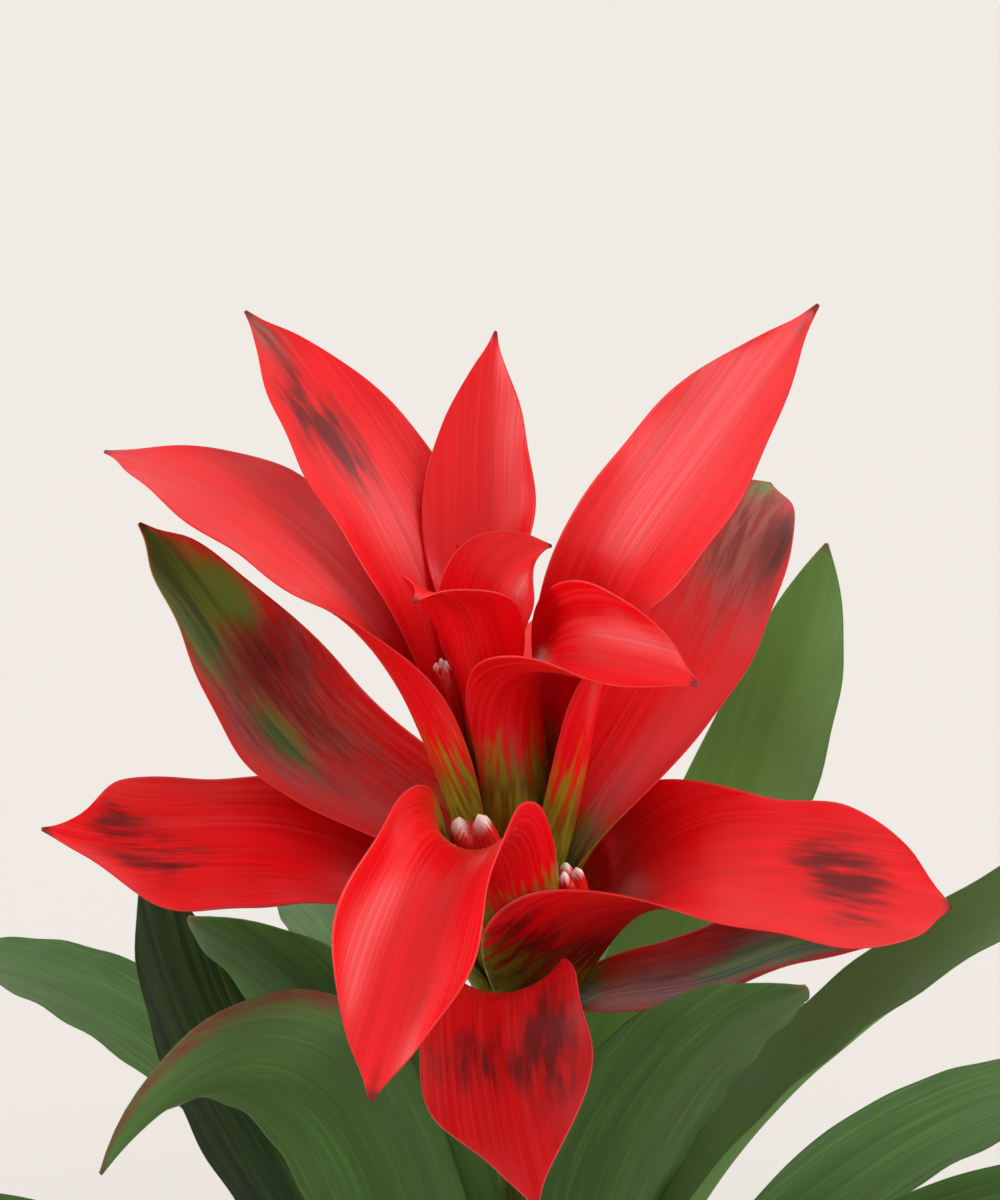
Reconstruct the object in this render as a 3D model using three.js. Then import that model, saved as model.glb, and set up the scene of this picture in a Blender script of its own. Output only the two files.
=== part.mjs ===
// Potted guzmania in flower.
// Millimetres, +Z up, origin at the centre of the pot's base.
// +X is the plant's right as it is looked at, and +Y points away from the viewer.
// Azimuths are in degrees about +Z: 0 right, 90 away, 180 left, 270 towards the viewer.

import * as THREE from "three";

// Pot: a plain clay pot with a thicker rim band
const POT_HEIGHT = 115;
const POT_RIM_RADIUS = 66;
const POT_FOOT_RADIUS = 46;
const POT_WALL = 5;
const POT_BASE_THICKNESS = 7;
const POT_BAND_HEIGHT = 26;
const POT_BAND_STEP = 4;
const POT_EDGE_ROUND = 1.5;
const ROUND_SEGMENTS = 40;

// Soil: fills the pot to a little below the rim
const SOIL_TOP = 100;
const SOIL_HOLE_DEPTH = 12;
const TOUCH_GAP = 0.3;

// Leaf stump: the short cone that all leaves grow from
const STUMP_RADIUS = 24;
const STUMP_TOP_RADIUS = 6;
const STUMP_TOP = 127;

// Flower stem: upright, then leaning to the left inside the flower head
const STEM_LEAN_FROM = 290;
const STEM_LEAN_OVER = 130;
const STEM_LEAN_REACH = 13;
const STEM_LEAN_POWER = 1.3;
const STEM_SEGMENTS = 16;
// height of each ring of the stem and its radius there: it swells where the bracts sit
const STEM_RINGS = [
  [STUMP_TOP + TOUCH_GAP, 5.5],
  [180, 5.5],
  [246, 5.5],
  [258, 8.6],
  [300, 8.8],
  [329, 8],
  [334, 6.2],
  [340, 6],
  [346, 4.4],
  [355, 2.2],
];

// Blades: thickest along the middle, thinner at the margins
const BRACT_THICKNESS = 1.1;
const LEAF_THICKNESS = 1.2;
const MARGIN_THICKNESS = 0.6;
const BRACT_STEPS = [14, 6];
const LEAF_STEPS = [14, 4];
// the middle line is followed in this many small paces for each step
const PACES_PER_STEP = 4;
// how much of the length the sideways roll takes to come in
const ROLL_OVER = 0.6;
// a blade swings round slowly at the base and faster towards the tip
const SWING_POWER = 1.5;
const TIP_WIDTH = 0.02;

// Bract outline: where along the length the waist, the widest place, the shoulder
// and the start of the tip are
const WAIST_AT = 0.32;
const WIDEST_AT = 0.62;
const SHOULDER_AT = 0.8;
const NEAR_TIP_AT = 0.92;
const POINT_AT = 0.97;
const POINT_SHARE = 0.33;

// Leaf bases: each leaf sits a little further in and higher than the one before it
const LEAF_BASE_RADIUS = 25;
const LEAF_RADIUS_STEP = 1.1;
const LEAF_BASE_HEIGHT = 101;
const LEAF_HEIGHT_STEP = 1.6;

// Leaf outline: [share of the length, share of the full width]
const LEAF_OUTLINE = [[0.22, 0.7], [0.5, 1], [0.78, 0.88], [0.92, 0.54], [0.975, 0.22], [1, TIP_WIDTH]];

// Bud: [share of the length, share of the greatest radius]
const BUD_PROFILE = [[0.04, 0.45], [0.2, 0.8], [0.45, 1], [0.68, 0.9], [0.85, 0.58], [0.96, 0.2]];
const BUD_SEGMENTS = 12;

// Colours
const CLAY = 0xb4694a;
const SOIL = 0x3a2a1f;
const STEM_GREEN = 0x8a9a3c;
const BRACT_RED = 0xd8141c;
const LEAF_GREEN = 0x47682f;
const BUD_RED = 0xd92a2e;

const RADIANS = Math.PI / 180;

// Bracts, from the lowest and outermost to the highest and innermost.
// azimuth, swing, roll, lean, wrap: degrees; height, radius, length, width: millimetres.
// height and radius: where the base sits on the stem. lean: from upright, at the base, a third,
// two thirds and the tip. wrap: the arc of the cross-section at the same places.
// form: share of the full width at the waist, the shoulder and near the tip.
const BRACTS = [
  { name: "bract_low_front_under", azimuth: 263, height: 259, radius: 10, length: 144, width: 39,
    lean: [31, 33, 99, 98], swing: 19, roll: 8, wrap: [155, 129, 67, 43], form: [0.73, 0.93, 0.33] },
  { name: "bract_low_right_back", azimuth: 331, height: 273, radius: 10, length: 107, width: 38,
    lean: [18, 67, 55, 86], swing: 5, roll: 10, wrap: [142, 64, 73, 50], form: [0.87, 0.77, 0.34] },
  { name: "bract_low_back_left", azimuth: 110, height: 275, radius: 10, length: 120, width: 38,
    lean: [23, 72, 104, 112], swing: 0, roll: 0, wrap: [154, 118, 50, 50], form: [0.8, 0.78, 0.34] },
  { name: "bract_low_right", azimuth: 326, height: 279, radius: 10, length: 128, width: 52,
    lean: [26, 37, 89, 103], swing: 39, roll: 12, wrap: [166, 166, 46, 52], form: [1.56, 0.92, 0.56] },
  { name: "bract_low_left", azimuth: 184, height: 286, radius: 10, length: 133, width: 44,
    lean: [25, 51, 81, 54], swing: 34, roll: -16, wrap: [121, 90, 11, 64], form: [0.99, 0.94, 0.3] },
  { name: "bract_low_front", azimuth: 257, height: 291, radius: 10, length: 149, width: 39,
    lean: [32, 28, 105, 145], swing: -8, roll: -3, wrap: [122, 187, 165, 52], form: [1.13, 0.97, 0.43] },
  { name: "bract_low_back_right", azimuth: 78, height: 296, radius: 10, length: 133, width: 38,
    lean: [26, 53, 80, 90], swing: 0, roll: -5, wrap: [147, 119, 51, 50], form: [0.82, 0.78, 0.34] },
  { name: "bract_back_left_low", azimuth: 164, height: 303, radius: 10, length: 137, width: 43,
    lean: [14, 58, 31, 39], swing: 9, roll: -21, wrap: [132, 83, 58, 52], form: [1.01, 0.64, 0.38] },
  { name: "bract_back_right", azimuth: 28, height: 306, radius: 10, length: 139, width: 41,
    lean: [15, 42, 42, 96], swing: 45, roll: 21, wrap: [160, 73, 53, 59], form: [0.89, 0.79, 0.4] },
  { name: "bract_left_high", azimuth: 166, height: 314, radius: 10, length: 158, width: 53,
    lean: [10, 24, 55, 87], swing: -7, roll: 0, wrap: [145, 162, 20, 20], form: [1.05, 0.92, 0.42] },
  { name: "bract_right_high", azimuth: 355, height: 314, radius: 10, length: 169, width: 44,
    lean: [15, 6, 33, 33], swing: 2, roll: 35, wrap: [156, 171, 41, 42], form: [0.86, 0.82, 0.34] },
  { name: "bract_right_folded", azimuth: 293, height: 323, radius: 9.4, length: 111, width: 39,
    lean: [15, -8, 70, 96], swing: 36, roll: 34, wrap: [144, 113, 171, 81], form: [0.68, 0.78, 0.36] },
  { name: "bract_back_left", azimuth: 137, height: 323, radius: 9.5, length: 157, width: 38,
    lean: [13, 19, 46, 56], swing: 1, roll: -7, wrap: [154, 117, 43, 62], form: [0.87, 0.78, 0.36] },
  { name: "bract_top_centre", azimuth: 106, height: 332, radius: 9.5, length: 124, width: 32,
    lean: [10, 15, 25, 33], swing: -31, roll: -35, wrap: [151, 153, 66, 49], form: [0.68, 0.72, 0.3] },
  { name: "bract_inner_left", azimuth: 119, height: 335, radius: 7.6, length: 74, width: 18,
    lean: [18, 2, -10, 75], swing: 29, roll: -2, wrap: [112, 112, 99, 68], form: [0.69, 0.66, 0.42] },
  { name: "bract_inner_front", azimuth: 240, height: 342, radius: 7.5, length: 83, width: 29,
    lean: [11, 10, 28, 92], swing: 3, roll: 3, wrap: [160, 159, 84, 45], form: [0.62, 0.94, 0.25] },
  { name: "bract_inner_right", azimuth: 34, height: 347, radius: 6, length: 72, width: 25,
    lean: [9, -23, 7, 98], swing: -14, roll: 35, wrap: [160, 149, 95, 81], form: [0.73, 0.96, 0.36] },
];

// Leaves, from the lowest and outermost to the highest and innermost, measured as the bracts
const LEAVES = [
  { name: "leaf_01", azimuth: 257, length: 269, width: 40,
    lean: [38, 64, 96, 120], swing: 0, roll: 0, wrap: [124, 97, 55, 40] },
  { name: "leaf_02", azimuth: 35, length: 274, width: 40,
    lean: [38, 63, 94, 118], swing: 0, roll: 0, wrap: [127, 97, 55, 40] },
  { name: "leaf_03", azimuth: 170, length: 280, width: 40,
    lean: [36, 62, 92, 116], swing: 0, roll: 0, wrap: [128, 98, 55, 40] },
  { name: "leaf_04", azimuth: 306, length: 285, width: 40,
    lean: [31, 60, 90, 114], swing: 0, roll: 0, wrap: [130, 95, 55, 40] },
  { name: "leaf_05", azimuth: 83, length: 289, width: 40,
    lean: [28, 62, 94, 115], swing: 0, roll: 0, wrap: [127, 94, 55, 40] },
  { name: "leaf_06", azimuth: 222, length: 290, width: 40,
    lean: [27, 55, 86, 110], swing: 0, roll: 0, wrap: [130, 96, 55, 40] },
  { name: "leaf_07", azimuth: 0, length: 295, width: 40,
    lean: [26, 53, 84, 108], swing: 0, roll: 0, wrap: [135, 98, 55, 40] },
  { name: "leaf_08", azimuth: 137, length: 294, width: 40,
    lean: [26, 60, 90, 112], swing: 0, roll: 0, wrap: [126, 96, 55, 40] },
  { name: "leaf_09", azimuth: 273, length: 290, width: 40,
    lean: [24, 49, 80, 108], swing: 0, roll: 0, wrap: [145, 100, 55, 40] },
  { name: "leaf_10", azimuth: 61, length: 280, width: 40,
    lean: [25, 72, 106, 124], swing: 0, roll: 0, wrap: [136, 95, 55, 40] },
  { name: "leaf_11", azimuth: 350, length: 312, width: 40,
    lean: [13, 22, 45, 59], swing: 0, roll: 0, wrap: [146, 103, 54, 40] },
  { name: "leaf_12", azimuth: 172, length: 215, width: 41,
    lean: [26, 28, 25, 6], swing: -5, roll: -22, wrap: [118, 86, 49, 30] },
  { name: "leaf_13", azimuth: 110, length: 270, width: 40,
    lean: [8, 58, 92, 112], swing: 0, roll: 0, wrap: [136, 100, 55, 40] },
  { name: "leaf_14", azimuth: 228, length: 268, width: 40,
    lean: [22, 14, 35, 116], swing: 10, roll: 69, wrap: [112, 79, 58, 74] },
  { name: "leaf_15", azimuth: 308, length: 251, width: 41,
    lean: [12, 12, 31, 54], swing: -11, roll: -31, wrap: [108, 95, 53, 38] },
  { name: "leaf_16", azimuth: 46, length: 279, width: 42,
    lean: [7, 26, 34, 11], swing: -2, roll: 12, wrap: [144, 101, 64, 27] },
  { name: "leaf_17", azimuth: 213, length: 243, width: 43,
    lean: [10, 13, 27, 50], swing: 17, roll: 41, wrap: [145, 100, 57, 38] },
];

// Flower buds in the cups of the bracts: the base, the tip and the greatest radius
const BUDS = [
  { name: "bud_front", base: [-3.7, -14.9, 309.4], tip: [-12.4, -26.5, 350.6], radius: 6.7 },
  { name: "bud_right", base: [14.7, -7.4, 299.5], tip: [12, -14.9, 330.8], radius: 4.8 },
  { name: "bud_left", base: [-14.4, 1.6, 354.5], tip: [-19.2, 0.4, 379.2], radius: 3.6 },
  { name: "bud_top", base: [-5.4, -2.9, 357.5], tip: [-10, -6.7, 397], radius: 3.4 },
];

// Smooth curve through [place, value] keys
function smoothKeys(keys, t) {
  const last = keys.length - 1;
  const slopes = [];
  const rise = (i) => (keys[i + 1][1] - keys[i][1]) / (keys[i + 1][0] - keys[i][0]);
  for (let i = 0; i <= last; i += 1) {
    const before = rise(Math.max(i - 1, 0));
    const after = rise(Math.min(i, last - 1));
    const turns = i > 0 && i < last && before * after <= 0;
    slopes.push(turns ? 0 : (before + after) / 2);
  }
  let k = 0;
  while (k < last - 1 && t >= keys[k + 1][0]) k += 1;
  const step = keys[k + 1][0] - keys[k][0];
  const s = (t - keys[k][0]) / step;
  return (1 + 2 * s) * (1 - s) ** 2 * keys[k][1]
    + s * (1 - s) ** 2 * step * slopes[k]
    + s * s * (3 - 2 * s) * keys[k + 1][1]
    + s * s * (s - 1) * step * slopes[k + 1];
}

// Values given at even places from the base to the tip
function evenKeys(values) {
  return values.map((value, i) => [i / (values.length - 1), value]);
}

// Centre of the flower stem at a height
function stemCentre(z) {
  const u = Math.max((z - STEM_LEAN_FROM) / STEM_LEAN_OVER, 0);
  return new THREE.Vector3(-STEM_LEAN_REACH * u ** STEM_LEAN_POWER, 0, z);
}

// Direction with a lean from upright and an azimuth, both in degrees
function direction(lean, azimuth) {
  const a = lean * RADIANS;
  const b = azimuth * RADIANS;
  return new THREE.Vector3(Math.sin(a) * Math.cos(b), Math.sin(a) * Math.sin(b), Math.cos(a));
}

// Middle line of a blade: for each step its place, its sideways direction and its upper side
function bladeSpine(row, steps) {
  const leanKeys = evenKeys(row.lean);
  const along = (t) => direction(smoothKeys(leanKeys, t), row.azimuth + row.swing * t ** SWING_POWER);
  const outward = direction(90, row.azimuth);
  const across = direction(90, row.azimuth + 90);
  const place = stemCentre(row.height).addScaledVector(outward, row.radius);
  const paces = steps * PACES_PER_STEP;
  const spine = [];
  for (let p = 0; p <= paces; p += 1) {
    const t = p / paces;
    const tangent = along(t);
    if (p > 0) {
      place.addScaledVector(along((p - 1) / paces).add(tangent), row.length / paces / 2);
    }
    if (p % PACES_PER_STEP > 0) continue;
    const side = across.clone().addScaledVector(tangent, -across.dot(tangent)).normalize();
    const upper = tangent.clone().cross(side);
    const turn = THREE.MathUtils.smoothstep(t / ROLL_OVER, 0, 1) * row.roll * RADIANS;
    spine.push({
      t,
      place: place.clone(),
      side: side.clone().multiplyScalar(Math.cos(turn)).addScaledVector(upper, Math.sin(turn)),
      upper: upper.multiplyScalar(Math.cos(turn)).addScaledVector(side, -Math.sin(turn)),
    });
  }
  return spine;
}

// Share of the full width along a bract
function bractOutline(form) {
  return [
    [WAIST_AT, form[0]],
    [WIDEST_AT, 1],
    [SHOULDER_AT, form[1]],
    [NEAR_TIP_AT, form[2]],
    [POINT_AT, form[2] * POINT_SHARE],
    [1, TIP_WIDTH],
  ];
}

// Mid-surface of a blade: rows of points from one margin to the other
function bladeSurface(row, outline, stepsAlong, stepsAcross) {
  const wrapKeys = evenKeys(row.wrap);
  const baseWidth = row.wrap[0] * RADIANS * row.radius / row.width;
  const widthKeys = [[0, baseWidth], ...outline];
  return bladeSpine(row, stepsAlong).map(({ t, place, side, upper }) => {
    const halfArc = smoothKeys(wrapKeys, t) * RADIANS / 2;
    const bend = smoothKeys(widthKeys, t) * row.width / 2 / halfArc;
    const points = [];
    for (let j = 0; j <= stepsAcross; j += 1) {
      const angle = halfArc * (2 * j / stepsAcross - 1);
      points.push(place.clone()
        .addScaledVector(side, bend * Math.sin(angle))
        .addScaledVector(upper, bend * (1 - Math.cos(angle))));
    }
    return points;
  });
}

// Solid blade: the mid-surface thickened both ways, with the same triangles on both faces
function bladeSolid(row, outline, [stepsAlong, stepsAcross], thickness) {
  const rows = bladeSurface(row, outline, stepsAlong, stepsAcross);
  const lastRow = stepsAlong;
  const lastColumn = stepsAcross;
  const faceSize = (lastRow + 1) * (lastColumn + 1);
  const positions = new Float32Array(faceSize * 2 * 3);
  const number = (i, j, face) => face * faceSize + i * (lastColumn + 1) + j;
  const at = (i, j) => rows[THREE.MathUtils.clamp(i, 0, lastRow)][THREE.MathUtils.clamp(j, 0, lastColumn)];
  for (let i = 0; i <= lastRow; i += 1) {
    for (let j = 0; j <= lastColumn; j += 1) {
      const alongWay = at(i + 1, j).clone().sub(at(i - 1, j));
      const acrossWay = at(i, j + 1).clone().sub(at(i, j - 1));
      const normal = alongWay.cross(acrossWay).normalize();
      const fromMiddle = Math.abs(2 * j / lastColumn - 1);
      const half = (thickness - (thickness - MARGIN_THICKNESS) * fromMiddle ** 2) / 2;
      rows[i][j].clone().addScaledVector(normal, half).toArray(positions, number(i, j, 0) * 3);
      rows[i][j].clone().addScaledVector(normal, -half).toArray(positions, number(i, j, 1) * 3);
    }
  }
  const index = [];
  for (let i = 0; i < lastRow; i += 1) {
    for (let j = 0; j < lastColumn; j += 1) {
      const [a, b, c, d] = [[i, j], [i + 1, j], [i + 1, j + 1], [i, j + 1]].map(([m, n]) => number(m, n, 0));
      index.push(a, b, c, a, c, d);
      index.push(a + faceSize, c + faceSize, b + faceSize, a + faceSize, d + faceSize, c + faceSize);
    }
  }
  addRimStrip(index, lastRow, lastColumn, number);
  return closedGeometry(positions, index);
}

// Narrow strip of triangles that joins the two faces all the way round
function addRimStrip(index, lastRow, lastColumn, number) {
  const ring = [];
  for (let j = 0; j < lastColumn; j += 1) ring.push([0, j]);
  for (let i = 0; i < lastRow; i += 1) ring.push([i, lastColumn]);
  for (let j = lastColumn; j > 0; j -= 1) ring.push([lastRow, j]);
  for (let i = lastRow; i > 0; i -= 1) ring.push([i, 0]);
  ring.forEach(([i, j], k) => {
    const [nextI, nextJ] = ring[(k + 1) % ring.length];
    index.push(number(i, j, 0), number(nextI, nextJ, 0), number(nextI, nextJ, 1));
    index.push(number(i, j, 0), number(nextI, nextJ, 1), number(i, j, 1));
  });
}

function closedGeometry(positions, index) {
  const geometry = new THREE.BufferGeometry();
  geometry.setAttribute("position", new THREE.BufferAttribute(positions, 3));
  geometry.setIndex(index);
  geometry.computeVertexNormals();
  return geometry;
}

// Round solid from rings of points, closed by a point at each end
function ringSolid(rings, start, end) {
  const count = rings[0].length;
  const points = [start, ...rings.flat(), end];
  const index = [];
  const last = points.length - 1;
  for (let k = 0; k < count; k += 1) {
    const next = (k + 1) % count;
    index.push(0, 1 + next, 1 + k);
    for (let r = 0; r < rings.length - 1; r += 1) {
      const low = 1 + r * count;
      const high = low + count;
      index.push(low + k, low + next, high + next);
      index.push(low + k, high + next, high + k);
    }
    const top = 1 + (rings.length - 1) * count;
    index.push(top + k, top + next, last);
  }
  return closedGeometry(new Float32Array(points.flatMap((point) => point.toArray())), index);
}

function flowerStem() {
  const rings = STEM_RINGS.map(([z, radius]) => {
    const centre = stemCentre(z);
    return Array.from({ length: STEM_SEGMENTS }, (_, k) => (
      centre.clone().addScaledVector(direction(90, 360 * k / STEM_SEGMENTS), radius)));
  });
  const lowest = STEM_RINGS[0][0];
  const highest = STEM_RINGS[STEM_RINGS.length - 1][0];
  return ringSolid(rings, stemCentre(lowest), stemCentre(highest));
}

// Lathed solid about +Z from [radius, height] points
function lathe(profile, segments) {
  const geometry = new THREE.LatheGeometry(profile.map(([r, z]) => new THREE.Vector2(r, z)), segments);
  geometry.rotateX(Math.PI / 2);
  return geometry;
}

// Radius of the pot's outside wall below the band at a height
function potWallRadius(z) {
  const reach = POT_RIM_RADIUS - POT_BAND_STEP - POT_FOOT_RADIUS;
  return POT_FOOT_RADIUS + reach * z / POT_HEIGHT;
}

function pot() {
  const bandFoot = POT_HEIGHT - POT_BAND_HEIGHT;
  const innerBase = potWallRadius(POT_BASE_THICKNESS) - POT_WALL;
  const innerTop = potWallRadius(POT_HEIGHT) - POT_WALL;
  return lathe([
    [0, 0],
    [POT_FOOT_RADIUS - POT_EDGE_ROUND, 0],
    [POT_FOOT_RADIUS, POT_EDGE_ROUND],
    [potWallRadius(bandFoot), bandFoot],
    [potWallRadius(bandFoot) + POT_BAND_STEP - POT_EDGE_ROUND, bandFoot],
    [potWallRadius(bandFoot) + POT_BAND_STEP, bandFoot + POT_EDGE_ROUND],
    [POT_RIM_RADIUS, POT_HEIGHT - POT_EDGE_ROUND],
    [POT_RIM_RADIUS - POT_EDGE_ROUND, POT_HEIGHT],
    [innerTop + POT_EDGE_ROUND, POT_HEIGHT],
    [innerTop, POT_HEIGHT - POT_EDGE_ROUND],
    [innerBase, POT_BASE_THICKNESS],
    [0, POT_BASE_THICKNESS],
  ], ROUND_SEGMENTS);
}

function soil() {
  const low = POT_BASE_THICKNESS + TOUCH_GAP;
  const holeFloor = SOIL_TOP - SOIL_HOLE_DEPTH;
  const holeRadius = STUMP_RADIUS + TOUCH_GAP;
  return lathe([
    [0, low],
    [potWallRadius(low) - POT_WALL - TOUCH_GAP, low],
    [potWallRadius(SOIL_TOP) - POT_WALL - TOUCH_GAP, SOIL_TOP],
    [holeRadius, SOIL_TOP],
    [holeRadius, holeFloor],
    [0, holeFloor],
  ], ROUND_SEGMENTS);
}

function leafStump() {
  return lathe([
    [0, SOIL_TOP - SOIL_HOLE_DEPTH + TOUCH_GAP],
    [STUMP_RADIUS, SOIL_TOP - SOIL_HOLE_DEPTH + TOUCH_GAP],
    [STUMP_RADIUS, SOIL_TOP],
    [STUMP_TOP_RADIUS, STUMP_TOP],
    [0, STUMP_TOP],
  ], ROUND_SEGMENTS);
}

// Bud: a round body that is fullest at its middle and drawn to a point
function bud({ base, tip, radius }) {
  const start = new THREE.Vector3(...base);
  const end = new THREE.Vector3(...tip);
  const axis = end.clone().sub(start).normalize();
  const across = new THREE.Vector3(1, 0, 0).cross(axis).normalize();
  const upper = axis.clone().cross(across);
  const rings = BUD_PROFILE.map(([share, fullness]) => {
    const centre = start.clone().lerp(end, share);
    return Array.from({ length: BUD_SEGMENTS }, (_, k) => {
      const angle = 2 * Math.PI * k / BUD_SEGMENTS;
      return centre.clone()
        .addScaledVector(across, radius * fullness * Math.cos(angle))
        .addScaledVector(upper, radius * fullness * Math.sin(angle));
    });
  });
  return ringSolid(rings, start, end);
}

function leafRow(row, rank) {
  return {
    ...row,
    radius: LEAF_BASE_RADIUS - LEAF_RADIUS_STEP * rank,
    height: LEAF_BASE_HEIGHT + LEAF_HEIGHT_STEP * rank,
  };
}

function mesh(name, geometry, color, roughness) {
  const material = new THREE.MeshStandardMaterial({ color, roughness, metalness: 0 });
  material.name = name;
  const object = new THREE.Mesh(geometry, material);
  object.name = name;
  return object;
}

const plant = new THREE.Group();
plant.name = "potted_guzmania";
plant.add(mesh("pot", pot(), CLAY, 0.85));
plant.add(mesh("soil", soil(), SOIL, 0.95));
plant.add(mesh("leaf_stump", leafStump(), STEM_GREEN, 0.6));
plant.add(mesh("flower_stem", flowerStem(), STEM_GREEN, 0.5));
LEAVES.forEach((row, rank) => {
  const geometry = bladeSolid(leafRow(row, rank), LEAF_OUTLINE, LEAF_STEPS, LEAF_THICKNESS);
  plant.add(mesh(row.name, geometry, LEAF_GREEN, 0.4));
});
for (const row of BRACTS) {
  const geometry = bladeSolid(row, bractOutline(row.form), BRACT_STEPS, BRACT_THICKNESS);
  plant.add(mesh(row.name, geometry, BRACT_RED, 0.35));
}
for (const row of BUDS) plant.add(mesh(row.name, bud(row), BUD_RED, 0.4));

export default plant;
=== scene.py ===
# %% [markdown]
# # A guzmania in a clay pot
#
# A guzmania is a bromeliad: strap leaves rise from a short stump, and a stem
# carries a head of waxy red bracts, the coloured leaves round its small flowers.
# The imported CAD model gives every piece its place. This lesson gives each piece a
# finer shape and a finish, and then sets up the light and the camera.
# The first cell loads the model and keeps its outer box, which the last cell sets beside the box of the
# scene.

import math

import bpy
import numpy as np
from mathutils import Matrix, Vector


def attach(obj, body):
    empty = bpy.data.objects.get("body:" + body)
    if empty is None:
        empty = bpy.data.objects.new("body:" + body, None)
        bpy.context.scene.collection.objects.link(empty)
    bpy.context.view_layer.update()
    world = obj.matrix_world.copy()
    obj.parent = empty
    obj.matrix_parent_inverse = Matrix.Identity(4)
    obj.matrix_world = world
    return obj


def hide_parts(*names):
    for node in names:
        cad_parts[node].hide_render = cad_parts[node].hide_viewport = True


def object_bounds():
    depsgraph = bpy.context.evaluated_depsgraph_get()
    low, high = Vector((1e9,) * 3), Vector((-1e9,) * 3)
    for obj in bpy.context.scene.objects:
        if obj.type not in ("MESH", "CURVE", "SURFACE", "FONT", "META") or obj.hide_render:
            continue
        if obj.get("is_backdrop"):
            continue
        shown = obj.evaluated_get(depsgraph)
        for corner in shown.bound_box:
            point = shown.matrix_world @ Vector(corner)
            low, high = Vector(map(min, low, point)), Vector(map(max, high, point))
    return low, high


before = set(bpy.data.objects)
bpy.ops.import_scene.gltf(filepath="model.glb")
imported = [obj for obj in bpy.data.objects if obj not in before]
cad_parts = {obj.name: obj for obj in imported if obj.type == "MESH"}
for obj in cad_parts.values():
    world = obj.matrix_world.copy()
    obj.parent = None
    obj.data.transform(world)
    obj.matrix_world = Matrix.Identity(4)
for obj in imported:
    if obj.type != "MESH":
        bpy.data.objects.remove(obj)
cad_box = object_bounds()
MM = 0.001
print("CAD box in metres:", [[round(c, 3) for c in corner] for corner in cad_box])

# %% [markdown]
# ## Camera
#
# The photograph looks into the flower head from a little above and from close by,
# which is why the near bracts look large. A camera needs a place, a direction and
# a focal length. Here it looks at one point in the head from a known distance, so
# the three are easy to change apart from each other.

# %% Place the camera
LOOK_AT = np.array([-4.8, 0, 395]) * MM
DISTANCE = 560 * MM
LOOKING_DOWN = math.radians(22)
LENS_MM = 70
SENSOR_WIDTH_MM = 36

camera = bpy.data.objects.new("camera", bpy.data.cameras.new("camera"))
bpy.context.scene.collection.objects.link(camera)
camera.data.lens = LENS_MM
camera.data.sensor_width = SENSOR_WIDTH_MM
back_and_up = np.array([0, -math.cos(LOOKING_DOWN), math.sin(LOOKING_DOWN)])
camera.location = LOOK_AT + DISTANCE * back_and_up
camera.rotation_euler = (math.radians(90) - LOOKING_DOWN, 0, 0)
bpy.context.scene.camera = camera
print("camera at", [round(c, 3) for c in camera.location])

# %% [markdown]
# ## Colours and nodes
#
# Colours are picked as sRGB hex values, the way a picture editor shows them, but a
# shader computes in linear light. One function turns one into the other.
#
# A material is a chain of nodes. Added by hand in the shader editor, a chain is hard
# to read back, so here one function adds a node: it takes the settings by name, links
# the ones that come from another node, and hands back the output that comes next.
# Many colours here are layers, as in painting: a ground, and over it one tint after
# another, each where its amount says so. That is a row of Mix nodes, laid in a loop.

# %% Helpers for colour and nodes
SOFT = {"interpolation_type": "SMOOTHSTEP"}
# Most of a noise lies between these two values. Stretching them to 0 and 1 brings it out.
CONTRAST = {**SOFT, "From Min": 0.35, "From Max": 0.65}
# A Mix node for colours has its sockets by number, since their names occur more than once.
COLOURS = {"data_type": "RGBA"}
AMOUNT, FIRST, SECOND = 0, 6, 7
MIXED = 2


def linear(hex_colour):
    """Red, green, blue and alpha in linear light of an sRGB hex colour."""
    parts = [int(hex_colour[i:i + 2], 16) / 255 for i in (1, 3, 5)]
    return [c / 12.92 if c <= 0.04045 else ((c + 0.055) / 1.055) ** 2.4 for c in parts] + [1]


def settle(tree, node, settings):
    """Give a node its settings: a socket is linked, and a hex colour is made linear."""
    for name, value in settings.items():
        if isinstance(value, bpy.types.NodeSocket):
            tree.links.new(value, node.inputs[name])
        elif isinstance(name, str) and hasattr(node, name):
            setattr(node, name, value)
        else:
            node.inputs[name].default_value = linear(value) if isinstance(value, str) else value


def add(tree, kind, output, settings):
    """Add a shader node with its settings and links, and return one of its outputs."""
    node = tree.nodes.new("ShaderNode" + kind)
    settle(tree, node, settings)
    return node.outputs[output]


def layered(tree, ground, layers):
    """Lay tints over a ground colour, the first one lowest, each by its amount."""
    for amount, tint in layers:
        layer = {AMOUNT: amount, FIRST: ground, SECOND: tint}
        ground = add(tree, "Mix", MIXED, {**COLOURS, **layer})
    return ground


def new_material(name):
    """A new material, its node tree and its main shader."""
    material = bpy.data.materials.new(name)
    material.use_nodes = True
    return material, material.node_tree, material.node_tree.nodes["Principled BSDF"]


def per_metre(size_mm):
    """Repeats in a metre of a pattern of that size, which is what a texture's scale counts."""
    return 1 / (size_mm * MM)


print("pure red in linear light:", linear("#FF0000"))

# %% [markdown]
# ## The shape of a blade
#
# Leaves and bracts grow alike: a base clasps the stem, and the blade then leans
# out, turns and rolls on its way to a point. So one description serves them all:
# a middle line, a width along it, and how far the cross-section is bent.
# Hand-placed control meshes could do it too, but with a formula each blade is one
# row of plain numbers, and the finer mesh keeps the CAD model's form.
# Lengths are in millimetres and angles in degrees.

# %% Smooth curves and the stem's middle
STEM_LEAN_FROM = 290
STEM_LEAN_OVER = 130
STEM_LEAN_REACH = 13
STEM_LEAN_POWER = 1.3


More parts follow.
